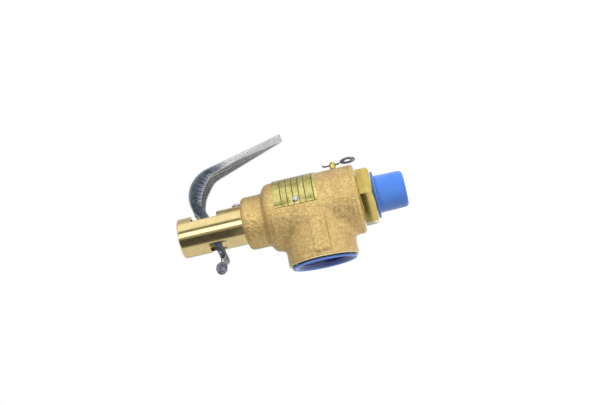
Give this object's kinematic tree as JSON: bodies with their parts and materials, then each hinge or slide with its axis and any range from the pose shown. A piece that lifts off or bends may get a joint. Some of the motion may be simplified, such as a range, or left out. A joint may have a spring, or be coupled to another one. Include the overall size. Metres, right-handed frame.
{
  "type": "pressure relief valve",
  "caption": "Cast bronze angle safety relief valve: hex nozzle with male inlet thread, side outlet, brass cap with windows and a bent channel lift lever; plastic covers on both threads.",
  "frame": {"origin": "centre of the nozzle's inlet end face, on the valve's axis", "axes": "+Z along the valve's axis from the inlet to the cap, outlet towards -X, lift lever towards +X, nameplate on the -Y to +X side"},
  "size_m": [0.1067, 0.0542, 0.1732],
  "materials": {
    "cast_bronze": "sand cast and shot blasted",
    "brass": "machined",
    "turned_brass": "turned and polished",
    "plate_brass": "thin rolled plate",
    "steel": "machined steel",
    "zinc_plate": "bright zinc plate",
    "wire": "twisted steel wire",
    "lead": "dull crimped lead",
    "polymer": "moulded polymer",
    "blue_plastic": "moulded polyethylene"
  },
  "bodies": {
    "valve_body": {"body": "cast_bronze", "nozzle": "brass", "regulator_ring": "brass", "ring_lock_screw": "brass", "ring_seal_wire": "wire", "ring_lead_seal": "lead", "disc_guide": "brass", "spring": "steel", "upper_spring_step": "brass", "adjusting_screw": "brass", "adjusting_lock_nut": "brass", "cap": "turned_brass", "cap_lock_screw": "steel", "nameplate": "plate_brass", "nameplate_rivet_1": "steel", "nameplate_rivet_2": "steel"},
    "spindle_group": {"spindle": "steel", "disc_holder": "brass", "seat_disc": "polymer", "seat_screw": "brass", "lower_spring_step": "brass", "lift_nut": "steel", "lift_lock_nut": "steel"},
    "lift_lever": {"lever": "zinc_plate", "lever_seal_wire": "wire", "lever_lead_seal": "lead"},
    "inlet_cover": {"inlet_thread_cap": "blue_plastic"},
    "outlet_cover": {"outlet_plug": "blue_plastic"}
  },
  "joints": [
    {"name": "lever_lift", "type": "hinge", "parent": "valve_body", "child": "lift_lever", "pos_m": [-0.01331, -0.00223, 0.1395], "axis": [0.165, -0.9863, 0], "range_deg": [0, 4.6]},
    {"name": "spindle_lift", "type": "slide", "parent": "valve_body", "child": "spindle_group", "axis": [0, 0, 1], "range_m": [0, 0.0017], "stiffness_N_per_m": 80, "springref_m": -0.002, "deforming": ["spring"]},
    {"name": "inlet_cover_off", "type": "slide", "parent": "valve_body", "child": "inlet_cover", "axis": [0, 0, -1], "range_m": [0, 0.03]},
    {"name": "outlet_plug_off", "type": "slide", "parent": "valve_body", "child": "outlet_cover", "axis": [-1, 0, 0], "range_m": [0, 0.022]}
  ],
  "couplings": [
    {"joint": "spindle_lift", "follows": "lever_lift", "m_per_rad": 0.0205}
  ]
}
